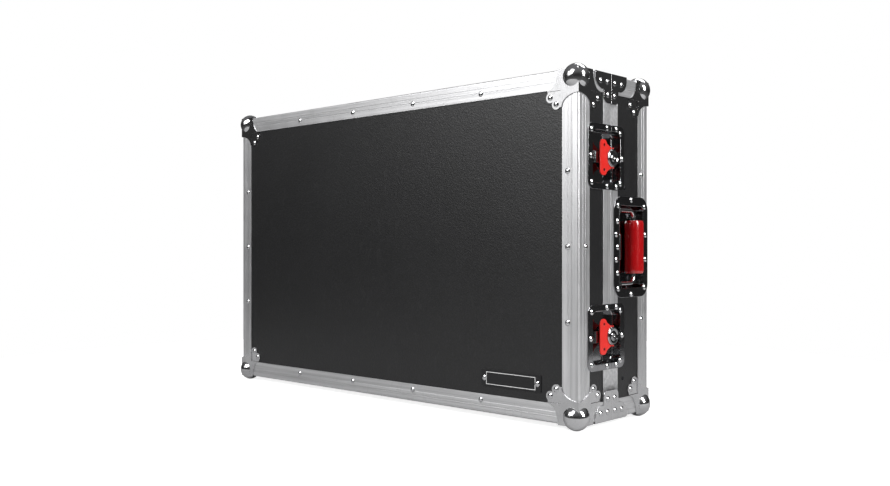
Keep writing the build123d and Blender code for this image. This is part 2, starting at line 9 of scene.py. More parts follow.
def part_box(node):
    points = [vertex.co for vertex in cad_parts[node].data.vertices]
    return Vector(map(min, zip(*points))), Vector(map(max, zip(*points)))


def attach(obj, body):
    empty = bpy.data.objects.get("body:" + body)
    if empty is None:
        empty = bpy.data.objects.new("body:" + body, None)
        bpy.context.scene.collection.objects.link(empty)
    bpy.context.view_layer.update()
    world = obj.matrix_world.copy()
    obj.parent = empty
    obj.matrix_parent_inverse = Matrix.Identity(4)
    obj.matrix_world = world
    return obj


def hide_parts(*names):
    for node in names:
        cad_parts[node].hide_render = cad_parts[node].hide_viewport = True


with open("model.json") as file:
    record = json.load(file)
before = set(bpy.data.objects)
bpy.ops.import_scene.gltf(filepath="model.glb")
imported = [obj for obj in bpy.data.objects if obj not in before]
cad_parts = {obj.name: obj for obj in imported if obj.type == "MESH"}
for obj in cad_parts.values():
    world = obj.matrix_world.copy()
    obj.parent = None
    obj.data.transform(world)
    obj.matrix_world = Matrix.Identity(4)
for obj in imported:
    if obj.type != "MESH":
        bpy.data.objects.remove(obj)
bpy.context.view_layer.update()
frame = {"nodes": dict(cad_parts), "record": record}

bl_info = {
    "name": "Controller flight case",
    "version": (1, 0, 0),
    "blender": (4, 5, 0),
    "location": "3D View > Sidebar > Flight case",
    "description": "Dresses the flight case with its finishes, rivets, grips and linings",
    "category": "Object",
}

MM = 0.001
WELD = 0.002 * MM
CURVE_WELD = 0.01 * MM
ON_AXIS = 0.0001 * MM
STREAK_SQUEEZE = 0.012
HEAD_STEPS = 16
PANEL_SOFTNESS = 0.5 * MM
PLATE_SOFTNESS = 0.3 * MM
RUBBER_SOFTNESS = 1.2 * MM
BORDER_THICKNESS = 0.24 * MM

# Latches: the wing's sheet, its ears on the hub's pin, and the neck as shares of the notch's radius
WING_SHEET = 1.6 * MM
WING_LEVEL = 3 * MM
EAR_RADIUS = 2.75 * MM
EAR_LENGTH = 1.3 * MM
EAR_OVERLAP = 1 * MM
NECK_REACH = 0.30
NECK_TOP = 0.985
HUB_FACE_RISE = 1.5 * MM
HUB_FACE_SUNK = 0.05 * MM

# Strike plates: half depth, half height, rise and shift of the plate and of its rib
STRIKE_FROM_FRONT = 47 * MM
STRIKE_BLOCKS = ((5.5 * MM, 31.5 * MM, 1.2 * MM, 0.0), (1.2 * MM, 16 * MM, 3.2 * MM, 1 * MM))
STRIKE_SOFTNESS = 0.4 * MM
STRIKE_RIVET_RISE = 26 * MM
STRIKE_RIVET_SIZE = 0.9

# Rivets over a handle's spring, and screws: those in the ends by distance from the front edge and height
SPRING_RIVET_STEP = 41 * MM
SPRING_RIVET_INSET = 10.5 * MM
FOOT_SCREW_RADIUS = 7 * MM
END_SCREW_HEIGHT = 1.4 * MM
END_SCREW_PLACES = ((131 * MM, 373.5 * MM), (126 * MM, 69 * MM))

# The camera, fitted to the photograph: it looks level from the middle height
PHOTO_WIDTH = 890
FOCAL_PIXELS = 933.0
SENSOR_WIDTH = 36.0
CAMERA_YAW = radians(42.73)
CAMERA_FROM_END = 0.8018
CAMERA_FROM_FRONT = 1.1626
HORIZON_SHIFT = 4 / PHOTO_WIDTH

# The floor, and how its glow for the camera grows from near the case to its rim, by shares of its radius
FLOOR_RADIUS = 1.2
FLOOR_GREY = 0.5
GLOW_FROM = 0.35
GLOW_TO = 0.9
GLOW_NEAR = 0.86

# The room that surfaces reflect: heights from 0 underfoot to 1 overhead, and how pale it is there
ROOM_ENDS = ((0.20, 0.20, 0.20), (0.22, 0.22, 0.23))
ROOM_TONES = ((0.44, 0.06), (0.50, 0.03), (0.62, 0.05), (0.80, 0.16))

# Lamps: place, aim, width, height and watts
LAMPS = {
    "key": ((0.1, -2.3, 2.5), (0.2, 0.0, 0.35), 1.1, 1.1, 40.0),
    "sheen_card": ((-0.7, -2.6, 1.78), (0.3, -0.1, 0.5), 2.0, 1.0, 56.0),
    "low_card": ((-1.3, -2.62, 0.98), (0.4, -0.1, 0.45), 1.1, 0.5, 2.4),
    "end_light": ((2.7, 0.35, 1.35), (0.4, 0.0, 0.35), 0.6, 1.5, 66.0),
    "top": ((0.3, 1.2, 2.4), (0.2, 0.0, 0.4), 1.8, 0.8, 22.0),
}

BODY_OF = {node: body for body, nodes in frame["record"]["behaviour"]["bodies"].items() for node in nodes}
SLOT_OF = {row["node"]: row["material_slot"] for row in frame["record"]["subparts"]}
PANEL_LOW, PANEL_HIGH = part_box("lid_panel")
END_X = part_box("base_edge_angles")[1][0]
FRONT_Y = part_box("lid_edge_angles")[0][1]
MIDDLE = Vector((0.0, (PANEL_LOW[1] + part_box("base_panel")[1][1]) / 2, (PANEL_LOW[2] + PANEL_HIGH[2]) / 2))
LATCH_QUARTERS = [(sign, rise) for sign in (-1, 1) for rise in (-1, 1)]


def length(name, default, low, high, note):
    """A length property in metres."""
    return bpy.props.FloatProperty(name=name, description=note, default=default, min=low, max=high,
                                   subtype="DISTANCE", unit="LENGTH", precision=5)


def colour(name, default, note):
    """A colour property."""
    return bpy.props.FloatVectorProperty(name=name, description=note, default=default, size=3, min=0.0, max=1.0,
                                         subtype="COLOR")


class CaseSizes(bpy.types.PropertyGroup):
    """Sizes of the details that are added to the construction."""
    edge_softness: length("Edge softness", 0.35 * MM, 0.0, 2 * MM, "Radius of the edges of sheet metal")
    extrusion_softness: length("Extrusion softness", 0.45 * MM, 0.0, 2 * MM, "Radius of the extrusions' edges")
    foam_softness: length("Foam softness", 3 * MM, 0.0, 8 * MM, "Radius of the lining's cut edges")
    rivet_radius: length("Rivet radius", 4.6 * MM, 2 * MM, 8 * MM, "Radius of a rivet's head")
    rivet_height: length("Rivet height", 2.1 * MM, 1 * MM, 4 * MM, "Height of a rivet's dome")
    screw_radius: length("Screw radius", 3.2 * MM, 2 * MM, 8 * MM, "Radius of the black screws in the ends")
    hub_radius: length("Hub radius", 13.4 * MM, 8 * MM, 20 * MM, "Radius of the turned face of a latch's hub")
    notch_radius: length("Notch radius", 15 * MM, 10 * MM, 20 * MM, "Radius of the wing's notch round the hub")
    ear_reach: length("Ear reach", 16.1 * MM, 12 * MM, 20 * MM, "Distance of the wing's ears from its middle")
    end_radius: length("Wing end radius", 8 * MM, 2 * MM, 12 * MM, "Radius of the wing's rounded ends")
    end_near: length("Wing end place", 15.5 * MM, 10 * MM, 25 * MM, "Distance of the wing's ends from the hub's middle")
    lobe_out: length("Lobe place", 7 * MM, 3 * MM, 12 * MM, "Distance of the lobes' tips from the hub's middle")
    lobe_high: length("Lobe height", 17.5 * MM, 10 * MM, 25 * MM, "Height of the lobes' tips")
    hole_in: length("Hole place", 23 * MM, 10 * MM, 30 * MM, "Distance of the wing's holes from the hub's middle")
    hole_high: length("Hole height", 19.5 * MM, 10 * MM, 30 * MM, "Height of the wing's holes")
    hole_radius: length("Hole radius", 2.4 * MM, 1 * MM, 5 * MM, "Radius of the wing's holes")
    dish_depth: length("Dish depth", 15 * MM, 5 * MM, 30 * MM, "Depth of a latch's dish under the case's end")
    grip_swell: length("Grip swell", 3 * MM, 0.0, 5 * MM, "How far a grip swells out beyond its core")
    latch_rise: length("Latch rise", 140 * MM, 50 * MM, 200 * MM, "Distance of the latches from the middle height")
    border_width: length("Border width", 0.9 * MM, 0.2 * MM, 3 * MM, "Width of the nameplate's white line")
    border_inset: length("Border inset", 11 * MM, 1 * MM, 20 * MM, "Distance of the line from the plate's ends")
    border_edge: length("Border edge", 3.8 * MM, 1 * MM, 8 * MM, "Distance of the line from the plate's long edges")


class CaseColours(bpy.types.PropertyGroup):
    """Colours of the finishes."""
    laminate: colour("Laminate", (0.0075, 0.0075, 0.008), "Black laminate of the panels")
    aluminium: colour("Aluminium", (0.74, 0.74, 0.75), "Extrusions")
    chrome: colour("Chrome", (0.62, 0.62, 0.63), "Ball corners, braces and rivets")
    dish: colour("Dish", (0.34, 0.34, 0.35), "Pressed dishes of latches and handles")
    paint: colour("Paint", (0.76, 0.022, 0.016), "Wings of the latches")
    grip: colour("Grip", (0.44, 0.003, 0.005), "Grips of the handles")
    foam: colour("Foam", (0.040, 0.040, 0.043), "Lining")
    rubber: colour("Rubber", (0.018, 0.018, 0.018), "Feet")
    plate: colour("Plate", (0.010, 0.010, 0.011), "Nameplate")
    line: colour("Line", (0.85, 0.85, 0.85), "Nameplate's border")


def sizes():
    """The sizes in the scene's settings."""
    return bpy.context.scene.case_sizes


def colours():
    """The colours in the scene's settings."""
    return bpy.context.scene.case_colours


# Shader node groups, built once and used by several finishes

def new_group(name, inputs, outputs):
    """An empty shader node group with named sockets."""
    tree = bpy.data.node_groups.new(name, "ShaderNodeTree")
    for socket_name, kind, default in inputs:
        socket = tree.interface.new_socket(socket_name, in_out="INPUT", socket_type="NodeSocket" + kind)
        if default is not None:
            socket.default_value = default
    for socket_name, kind in outputs:
        tree.interface.new_socket(socket_name, in_out="OUTPUT", socket_type="NodeSocket" + kind)
    return tree, tree.nodes.new("NodeGroupInput"), tree.nodes.new("NodeGroupOutput")


def add(tree, kind, **values):
    """A node with its settings, and its unlinked inputs by name or number."""
    node = tree.nodes.new(kind)
    for key, value in values.items():
        if key == "inputs":
            for socket, number in value.items():
                node.inputs[socket].default_value = number
        else:
            setattr(node, key, value)
    return node


def maths(tree, operation, first, second):
    """A Math node fed by sockets or numbers."""
    node = tree.nodes.new("ShaderNodeMath")
    node.operation = operation
    for socket, value in zip(node.inputs, (first, second)):
        if isinstance(value, (int, float)):
            socket.default_value = value
        else:
            tree.links.new(value, socket)
    return node.outputs[0]


def texture(tree, kind, vector, **inputs):
    """A texture fed with coordinates, its other inputs with numbers or sockets."""
    node = tree.nodes.new("ShaderNodeTex" + kind)
    tree.links.new(vector, node.inputs["Vector"])
    for name, value in inputs.items():
        if isinstance(value, (int, float)):
            node.inputs[name].default_value = value
        else:
            tree.links.new(value, node.inputs[name])
    return node


def brushed_group():
    """Fine lines drawn along a piece: the vector is squeezed along it, so noise turns into streaks."""
    tree, start, end = new_group(
        "Brushed lines", [("Vector", "Vector", None), ("Scale", "Float", 900.0), ("Tone", "Float", 0.2)],
        [("Height", "Float"), ("Brightness", "Float"), ("Smear", "Float")])
    vector, scale = start.outputs["Vector"], start.outputs["Scale"]
    fine = texture(tree, "Noise", vector, Scale=scale, Detail=3.0, Roughness=0.6)
    broad = texture(tree, "Noise", vector, Scale=maths(tree, "MULTIPLY", scale, 0.12), Detail=2.0)
    spread = maths(tree, "SUBTRACT", broad.outputs["Fac"], 0.5)
    toned = maths(tree, "MULTIPLY", spread, start.outputs["Tone"])
    link = tree.links.new
    link(fine.outputs["Fac"], end.inputs["Height"])
    link(maths(tree, "ADD", toned, 1.0), end.inputs["Brightness"])
    link(broad.outputs["Fac"], end.inputs["Smear"])
    return tree


def leather_group():
    """The fine pebbled grain of laminate: two sizes of cells under a little noise."""
    tree, start, end = new_group(
        "Pebbled grain", [("Vector", "Vector", None), ("Scale", "Float", 420.0)],
        [("Height", "Float"), ("Pits", "Float")])
    vector, scale = start.outputs["Vector"], start.outputs["Scale"]
    cells = []
    for factor in (1.0, 2.3):
        cell = texture(tree, "Voronoi", vector, Scale=maths(tree, "MULTIPLY", scale, factor))
        cell.feature = "SMOOTH_F1"
        cells.append(cell.outputs["Distance"])
    noise = texture(tree, "Noise", vector, Scale=maths(tree, "MULTIPLY", scale, 0.35), Detail=4.0)
    both = maths(tree, "ADD", cells[0], maths(tree, "MULTIPLY", cells[1], 0.5))
    rough = maths(tree, "MULTIPLY", noise.outputs["Fac"], 0.6)
    tree.links.new(maths(tree, "ADD", both, rough), end.inputs["Height"])
    tree.links.new(cells[0], end.inputs["Pits"])
    return tree


def smudge_group():
    """Handling marks: soft patches and a few fine scratches, as masks."""
    tree, start, end = new_group(
        "Handling marks",
        [("Vector", "Vector", None), ("Patch Scale", "Float", 14.0), ("Scratch Scale", "Float", 60.0)],
        [("Patches", "Float"), ("Scratches", "Float")])
    link = tree.links.new
    vector = start.outputs["Vector"]
    patch = texture(tree, "Noise", vector, Scale=start.outputs["Patch Scale"], Detail=5.0, Roughness=0.65)
    stretch = add(tree, "ShaderNodeVectorMath", operation="MULTIPLY", inputs={1: (1.0, 6.0, 0.35)})
    link(vector, stretch.inputs[0])
    scratch = texture(tree, "Noise", stretch.outputs[0], Scale=start.outputs["Scratch Scale"], Detail=1.0,
                      Distortion=1.2)
    line = add(tree, "ShaderNodeValToRGB")
    line.color_ramp.elements[0].position = 0.67
    line.color_ramp.elements[1].position = 0.70
    link(scratch.outputs["Fac"], line.inputs["Fac"])
    link(patch.outputs["Fac"], end.inputs["Patches"])
    link(line.outputs["Color"], end.inputs["Scratches"])
    return tree


def dust_group():
    """A mask of dust on faces that look up."""
    tree, start, end = new_group("Settled dust", [("Vector", "Vector", None), ("Amount", "Float", 0.2)],
                                 [("Mask", "Float")])
    shape = tree.nodes.new("ShaderNodeNewGeometry")
    split = tree.nodes.new("ShaderNodeSeparateXYZ")
    tree.links.new(shape.outputs["Normal"], split.inputs[0])
    up = maths(tree, "MAXIMUM", split.outputs["Z"], 0.0)
    noise = texture(tree, "Noise", start.outputs["Vector"], Scale=45.0, Detail=6.0)
    speckled = maths(tree, "MULTIPLY", maths(tree, "POWER", up, 3.0), noise.outputs["Fac"])
    tree.links.new(maths(tree, "MULTIPLY", speckled, start.outputs["Amount"]), end.inputs["Mask"])
    return tree


GROUPS = {}
GROUP_MAKERS = {"brushed": brushed_group, "leather": leather_group, "smudge": smudge_group, "dust": dust_group}


def group(tree, name, vector, **numbers):
    """A group node in a material, fed with coordinates, its numbers set."""
    if name not in GROUPS:
        GROUPS[name] = GROUP_MAKERS[name]()
    node = tree.nodes.new("ShaderNodeGroup")
    node.node_tree = GROUPS[name]
    tree.links.new(vector, node.inputs["Vector"])
    for socket, number in numbers.items():
        node.inputs[socket.replace("_", " ")].default_value = number
    return node


# Materials

def blank(name, roughness, metallic=0.0, coat=0.0, coat_roughness=0.05, specular=0.5):
    """A material with its shader, output and object coordinates."""
    material = bpy.data.materials.new(name)
    material.use_nodes = True
    tree = material.node_tree
    shader = tree.nodes["Principled BSDF"]
    for socket, value in (("Roughness", roughness), ("Metallic", metallic), ("Coat Weight", coat),
                          ("Coat Roughness", coat_roughness), ("Specular IOR Level", specular)):
        shader.inputs[socket].default_value = value
    place = tree.nodes.new("ShaderNodeTexCoord").outputs["Object"]
    return material, tree, shader, place


def tint(tree, factor, first, second):
    """A colour between two, by a mask."""
    mix = tree.nodes.new("ShaderNodeMix")
    mix.data_type = "RGBA"
    for socket, value in ((mix.inputs[6], first), (mix.inputs[7], second)):
        if isinstance(value, bpy.types.NodeSocket):
            tree.links.new(value, socket)
        else:
            socket.default_value = (*value, 1.0)
    tree.links.new(factor, mix.inputs[0])
    return mix.outputs[2]


def shade(value, factor):
    """A colour made lighter or darker."""
    return tuple(min(1.0, part * factor) for part in value)


def scratched(tree, marks, amount, first, second):
    """A colour with some of another along the scratches."""
    return tint(tree, maths(tree, "MULTIPLY", marks.outputs["Scratches"], amount), first, second)


def complete(tree, shader, colour_socket, marks, rough, height, relief):
    """Wires a finish: its colour, a roughness between two by its patches, and relief by strength and distance."""
    tree.links.new(colour_socket, shader.inputs["Base Color"])
    spread = tree.nodes.new("ShaderNodeMapRange")
    spread.inputs["To Min"].default_value, spread.inputs["To Max"].default_value = rough
    tree.links.new(marks.outputs["Patches"], spread.inputs["Value"])
    tree.links.new(spread.outputs[0], shader.inputs["Roughness"])
    bump = tree.nodes.new("ShaderNodeBump")
    bump.inputs["Strength"].default_value, bump.inputs["Distance"].default_value = relief
    tree.links.new(height, bump.inputs["Height"])
    tree.links.new(bump.outputs[0], shader.inputs["Normal"])


def laminate():
    """Black laminate with a pebbled grain, a little paler on its high spots."""
    material, tree, shader, place = blank("Black laminate", 0.42, specular=0.55)
    base = tuple(colours().laminate)
    grain = group(tree, "leather", place, Scale=400.0)
    marks = group(tree, "smudge", place, Patch_Scale=5.0, Scratch_Scale=75.0)
    dust = group(tree, "dust", place, Amount=0.25)
    pebbled = tint(tree, grain.outputs["Pits"], shade(base, 0.6), shade(base, 2.0))
    worn = scratched(tree, marks, 0.03, pebbled, (0.12, 0.12, 0.12))
    dusty = tint(tree, dust.outputs["Mask"], worn, (0.30, 0.29, 0.27))
    complete(tree, shader, dusty, marks, (0.34, 0.44), grain.outputs["Height"], (0.5, 0.4 * MM))
    return material


def streak_vector(tree, place):
    """Object coordinates squeezed along each piece, so that lines run down its length."""
    along = add(tree, "ShaderNodeAttribute", attribute_name="along")
    node = add(tree, "ShaderNodeVectorMath", operation="MULTIPLY")
    tree.links.new(place, node.inputs[0])
    tree.links.new(along.outputs["Vector"], node.inputs[1])
    return node.outputs[0]


def aluminium():
    """Mill aluminium: drawn lines down its length, dull patches and light handling marks."""
    material, tree, shader, place = blank("Mill aluminium", 0.34, metallic=1.0)
    base = tuple(colours().aluminium)
    lines = group(tree, "brushed", streak_vector(tree, place), Scale=1500.0, Tone=0.6)
    marks = group(tree, "smudge", place, Patch_Scale=22.0, Scratch_Scale=90.0)
    dust = group(tree, "dust", place, Amount=0.2)
    streaked = tint(tree, lines.outputs["Smear"], shade(base, 0.58), shade(base, 1.26))
    worn = scratched(tree, marks, 0.12, streaked, shade(base, 0.55))
    dusty = tint(tree, dust.outputs["Mask"], worn, (0.55, 0.53, 0.50))
    complete(tree, shader, dusty, marks, (0.36, 0.54), lines.outputs["Height"], (0.3, 0.14 * MM))
    return material


def plated(name, base, low, high):
    """Plated steel: bright, with faint ripples of the pressing and finger marks."""
    material, tree, shader, place = blank(name, low, metallic=1.0)
    marks = group(tree, "smudge", place, Patch_Scale=60.0, Scratch_Scale=160.0)
    dimmed = tint(tree, marks.outputs["Patches"], shade(base, 1.12), shade(base, 0.82))
    worn = scratched(tree, marks, 0.25, dimmed, shade(base, 0.6))
    ripple = texture(tree, "Noise", place, Scale=55.0, Detail=1.0)
    complete(tree, shader, worn, marks, (low, high), ripple.outputs["Fac"], (0.18, 0.6 * MM))
    return material


def painted():
    """Red powder coat with a fine orange peel and rubbed spots."""
    material, tree, shader, place = blank("Red powder coat", 0.34, coat=0.25, coat_roughness=0.18)
    base = tuple(colours().paint)
    marks = group(tree, "smudge", place, Patch_Scale=90.0, Scratch_Scale=260.0)
    mottled = tint(tree, marks.outputs["Patches"], shade(base, 1.1), shade(base, 0.85))
    worn = scratched(tree, marks, 0.30, mottled, (0.80, 0.25, 0.20))
    peel = texture(tree, "Noise", place, Scale=1400.0, Detail=2.0)
    complete(tree, shader, worn, marks, (0.28, 0.42), peel.outputs["Fac"], (0.25, 0.2 * MM))
    return material


def moulded():
    """Glossy red moulding with flow lines, swirls and small scuffs."""
    material, tree, shader, place = blank("Red moulding", 0.2, coat=0.8, coat_roughness=0.06)
    base = tuple(colours().grip)
    marks = group(tree, "smudge", place, Patch_Scale=35.0, Scratch_Scale=140.0)
    swirled = tint(tree, marks.outputs["Patches"], shade(base, 1.12), shade(base, 0.78))
    worn = scratched(tree, marks, 0.2, swirled, (0.75, 0.20, 0.18))
    wave = texture(tree, "Noise", place, Scale=30.0, Detail=1.0)
    complete(tree, shader, worn, marks, (0.14, 0.28), wave.outputs["Fac"], (0.12, 0.8 * MM))
    return material


def foam():
    """Dense open-cell foam."""
    material, tree, shader, place = blank("Dense foam", 0.95, specular=0.2)
    base = tuple(colours().foam)
    pores = texture(tree, "Voronoi", place, Scale=950.0).outputs["Distance"]
    marks = group(tree, "smudge", place, Patch_Scale=12.0, Scratch_Scale=20.0)
    porous = tint(tree, pores, shade(base, 0.5), shade(base, 1.7))
    cloudy = tint(tree, maths(tree, "MULTIPLY", marks.outputs["Patches"], 0.4), porous, shade(base, 1.4))
    complete(tree, shader, cloudy, marks, (0.9, 1.0), pores, (0.8, 0.8 * MM))
    return material


def dull(name, base, low, high, scale):
    """A plain moulded or printed finish with a fine tooth."""
    material, tree, shader, place = blank(name, low, specular=0.4)
    marks = group(tree, "smudge", place, Patch_Scale=40.0, Scratch_Scale=120.0)
    mottled = tint(tree, marks.outputs["Patches"], shade(base, 0.8), shade(base, 1.25))
    tooth = texture(tree, "Noise", place, Scale=scale, Detail=3.0)
    complete(tree, shader, mottled, marks, (low, high), tooth.outputs["Fac"], (0.3, 0.3 * MM))
    return material


MATERIALS = {}
MAKERS = {
    "laminate": laminate,
    "aluminium": aluminium,
    "chrome": lambda: plated("Bright plating", tuple(colours().chrome), 0.07, 0.20),
    "dish": lambda: plated("Dish plating", tuple(colours().dish), 0.06, 0.16),
    "red_paint": painted,
    "red_grip": moulded,
    "foam": foam,
    "rubber": lambda: dull("Foot rubber", tuple(colours().rubber), 0.6, 0.8, 700.0),
    "nameplate": lambda: dull("Nameplate enamel", tuple(colours().plate), 0.25, 0.4, 900.0),
    "line": lambda: dull("White print", tuple(colours().line), 0.4, 0.55, 900.0),
    "screw": lambda: plated("Black screws", (0.035, 0.035, 0.038), 0.3, 0.45),
}


def finish(name):
    """A finish by name, made once."""
    if name not in MATERIALS:
        MATERIALS[name] = MAKERS[name]()
    return MATERIALS[name]


# Meshes

def linked(name, data):
    """A new object in the scene."""
    thing = bpy.data.objects.new(name, data)
    bpy.context.scene.collection.objects.link(thing)
    return thing


def link_piece(name, mesh, material, body, replaced=()):
    """Puts a finished mesh in the scene on its body."""
    piece = linked(name, mesh)
    mesh.materials.clear()
    mesh.materials.append(material)
    if replaced:
        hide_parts(*replaced)
    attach(piece, body)
    return piece


def islands(shape):
    """The separate pieces of a bmesh, each as a list of its corners, in the order of the mesh."""
    left = set(shape.verts)
    found = []
    for seed in shape.verts:
        if seed not in left:
            continue
        left.discard(seed)
        members = [seed]
        for vertex in members:
            for edge in vertex.link_edges:
                other = edge.other_vert(vertex)
                if other in left:
                    left.discard(other)
                    members.append(other)
        found.append(members)
    return found


def span(points):
    """Lowest and highest corner of some points."""
    low = Vector([min(p[axis] for p in points) for axis in range(3)])
    high = Vector([max(p[axis] for p in points) for axis in range(3)])
    return low, high


def note_length(shape):
    """Writes on each corner how coordinates are squeezed along the length of its piece."""
    layer = shape.verts.layers.float_vector.new("along")
    for members in islands(shape):
        low, high = span([v.co for v in members])
        size = high - low
        longest = max(range(3), key=lambda axis: size[axis])
        squeeze = Vector([STREAK_SQUEEZE if axis == longest else 1.0 for axis in range(3)])
        for vertex in members:
            vertex[layer] = squeeze


def baked(holder):
    """The mesh that an object has after its modifiers; the object goes."""
    bpy.context.view_layer.update()
    mesh = bpy.data.meshes.new_from_object(holder.evaluated_get(bpy.context.evaluated_depsgraph_get()))
    bpy.data.objects.remove(holder)
    return mesh


def flat_mesh(shape, name):
    """A bmesh as a mesh; the bmesh goes."""
    mesh = bpy.data.meshes.new(name)
    shape.to_mesh(mesh)
    shape.free()
    return mesh


def smooth_mesh(shape, name, sharp=50):
    """A bmesh as a smooth mesh with its sharp edges marked by an angle in degrees."""
    mesh = flat_mesh(shape, name)
    mesh.shade_smooth()
    mesh.set_sharp_from_angle(angle=radians(sharp))
    return mesh


def with_even_normals(mesh):
    """The mesh with normals weighted by face area, so that flats stay flat beside their soft edges."""
    holder = linked("holder", mesh)
    modifier = holder.modifiers.new("even", "WEIGHTED_NORMAL")
    modifier.keep_sharp = True
    modifier.weight = 80
    return baked(holder)


def welded(node):
    """A bmesh of a CAD node, its corners joined up."""
    shape = bmesh.new()
    shape.from_mesh(frame["nodes"][node].data)
    bmesh.ops.remove_doubles(shape, verts=shape.verts, dist=WELD)
    return shape


def softened(node, width, segments=2, sharp=radians(35), flat=radians(1)):
    """A copy of a CAD node's mesh, joined up, with its sharp edges rounded."""
    shape = welded(node)
    bmesh.ops.dissolve_limit(shape, angle_limit=flat, verts=shape.verts, edges=shape.edges)
    note_length(shape)
    edges = [e for e in shape.edges if len(e.link_faces) == 2 and e.calc_face_angle(0.0) > sharp]
    if edges and width > 0:
        bmesh.ops.bevel(shape, geom=edges, offset=width, segments=segments, profile=0.5, affect="EDGES",
                        clamp_overlap=True)
    return with_even_normals(smooth_mesh(shape, node + "_soft"))


def dress(node, material, width, **options):
    """Replaces a CAD node by its softened copy in a finish."""
    mesh = softened(node, width, **options)
    return link_piece(node + "_finished", mesh, finish(material), BODY_OF[node], (node,))


def dress_all(nodes, material, width, **options):
    """Dresses several nodes alike."""
    return [dress(node, material, width, **options) for node in nodes]


def bridge(shape, rings, steps):
    """Faces between rings of corners, of which some are a single point."""
    for lower, upper in zip(rings, rings[1:]):
        for i in range(steps):
            j = (i + 1) % steps
            corners = [lower[i % len(lower)], lower[j % len(lower)], upper[j % len(upper)], upper[i % len(upper)]]
            shape.faces.new(list(dict.fromkeys(corners)))


def lathe(profile, steps):
    """A closed mesh of revolution about Z from (radius, height) points, the first and last on the axis."""
    shape = bmesh.new()
    rings = []
    for radius, height in profile:
        angles = [0.0] if radius < ON_AXIS else [2 * pi * i / steps for i in range(steps)]
        rings.append([shape.verts.new((radius * cos(angle), radius * sin(angle), height)) for angle in angles])
    bridge(shape, rings, steps)
    bmesh.ops.recalc_face_normals(shape, faces=shape.faces)
    return smooth_mesh(shape, "turned", 60)


def arc(x, y, radius, start, stop, steps):
    """Points along an arc, in degrees."""
    angles = [radians(start + (stop - start) * i / steps) for i in range(steps + 1)]
    return [(x + radius * cos(angle), y + radius * sin(angle)) for angle in angles]


def cut_plate(loops, thickness, softness):
    """A bmesh of a plate from closed outlines, the first round the others, with rounded edges, lying on XY."""
    curve = bpy.data.curves.new("plate", "CURVE")
    curve.dimensions = "2D"
    curve.fill_mode = "BOTH"
    curve.extrude = thickness / 2 - softness
    curve.bevel_depth = softness
    curve.bevel_resolution = 1
    curve.offset = -softness
    for points in loops:
        spline = curve.splines.new("POLY")
        spline.points.add(len(points) - 1)
        spline.use_cyclic_u = True
        for target, (x, y) in zip(spline.points, points):
            target.co = (x, y, 0, 1)
    shape = bmesh.new()
    shape.from_mesh(baked(linked("plate", curve)))
    bmesh.ops.remove_doubles(shape, verts=shape.verts, dist=CURVE_WELD)
    return shape


def scatter_tree():
    """A tree that puts a head on every point, turned to face the point's outward direction."""
    tree = bpy.data.node_groups.new("Heads on points", "GeometryNodeTree")
    for name, kind in (("Geometry", "Geometry"), ("Head", "Object"), ("Finish", "Material"), ("Size", "Float")):
        tree.interface.new_socket(name, in_out="INPUT", socket_type="NodeSocket" + kind)
    tree.interface.new_socket("Geometry", in_out="OUTPUT", socket_type="NodeSocketGeometry")
    start = add(tree, "NodeGroupInput")
    end = add(tree, "NodeGroupOutput")
    head = add(tree, "GeometryNodeObjectInfo")
    outward = add(tree, "GeometryNodeInputNamedAttribute", data_type="FLOAT_VECTOR", inputs={"Name": "outward"})
    turn = add(tree, "FunctionNodeAlignRotationToVector", axis="Z")
    twist = add(tree, "FunctionNodeRotateRotation", rotation_space="LOCAL")
    spin = add(tree, "FunctionNodeRandomValue", data_type="FLOAT", inputs={2: 0.0, 3: 2 * pi, "Seed": 7})
    axis = add(tree, "ShaderNodeCombineXYZ")
    to_rotation = add(tree, "FunctionNodeEulerToRotation")
    instance = add(tree, "GeometryNodeInstanceOnPoints")
    real = add(tree, "GeometryNodeRealizeInstances")
    painted_on = add(tree, "GeometryNodeSetMaterial")
    link = tree.links.new
    link(start.outputs["Head"], head.inputs["Object"])
    link(outward.outputs["Attribute"], turn.inputs["Vector"])
    link(turn.outputs[0], twist.inputs["Rotation"])
    link(spin.outputs[1], axis.inputs["Z"])
    link(axis.outputs[0], to_rotation.inputs[0])
    link(to_rotation.outputs[0], twist.inputs["Rotate By"])
    link(start.outputs["Geometry"], instance.inputs["Points"])
    link(head.outputs["Geometry"], instance.inputs["Instance"])
    link(twist.outputs[0], instance.inputs["Rotation"])
    link(start.outputs["Size"], instance.inputs["Scale"])
    link(instance.outputs[0], real.inputs[0])
    link(real.outputs[0], painted_on.inputs["Geometry"])
    link(start.outputs["Finish"], painted_on.inputs["Material"])
    link(painted_on.outputs[0], end.inputs[0])
    return tree


def scattered(name, places, head_mesh, material, size=1.0):
    """One plain mesh of heads at places, each a point and an outward direction, made by the scatter tree."""
    if "scatter" not in GROUPS:
        GROUPS["scatter"] = scatter_tree()
    points = bpy.data.meshes.new(name + "_points")
    points.from_pydata([place for place, _ in places], [], [])
    layer = points.attributes.new("outward", "FLOAT_VECTOR", "POINT")
    layer.data.foreach_set("vector", [part for _, outward in places for part in outward])
    head = linked(name + "_head", head_mesh)
    holder = linked(name + "_holder", points)
    modifier = holder.modifiers.new("scatter", "NODES")
    modifier.node_group = GROUPS["scatter"]
    sockets = {item.name: item.identifier for item in GROUPS["scatter"].interface.items_tree
               if item.in_out == "INPUT"}
    modifier[sockets["Head"]] = head
    modifier[sockets["Finish"]] = material
    modifier[sockets["Size"]] = size
    mesh = baked(holder)
    bpy.data.objects.remove(head)
    return mesh


